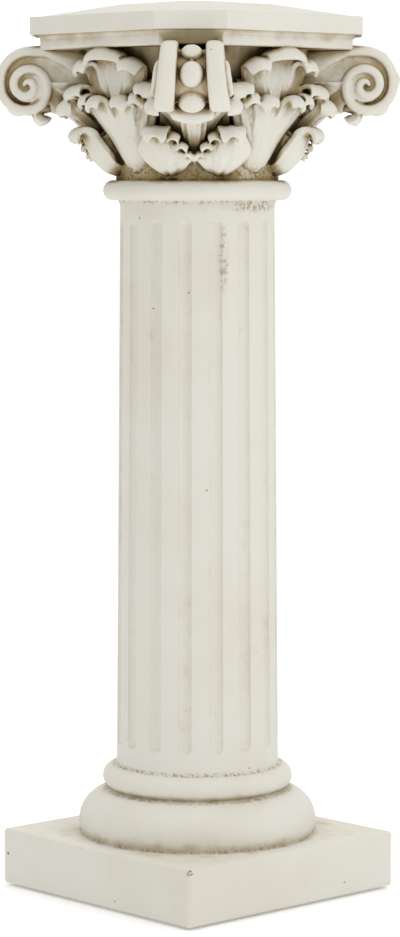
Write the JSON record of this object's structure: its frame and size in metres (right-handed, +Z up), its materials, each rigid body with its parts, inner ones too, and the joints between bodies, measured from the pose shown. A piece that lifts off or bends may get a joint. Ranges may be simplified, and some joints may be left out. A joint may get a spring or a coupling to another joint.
{
  "type": "column pedestal",
  "caption": "Fluted round column on a square plinth, with a leaf and corner scroll capital under an eight-sided top slab, cast in one piece to stand on a floor and carry a display.",
  "frame": {"origin": "centre of the plinth's underside", "axes": "+Z up the column's axis, X and Y along the plinth's sides, so the four corner scrolls point along the diagonals"},
  "size_m": [0.3312, 0.3312, 0.9],
  "materials": {
    "cast_stone": "matte off-white cast surface with brown dirt rubbed into the carving"
  },
  "bodies": {
    "root": {"pedestal": "cast_stone"}
  },
  "joints": []
}
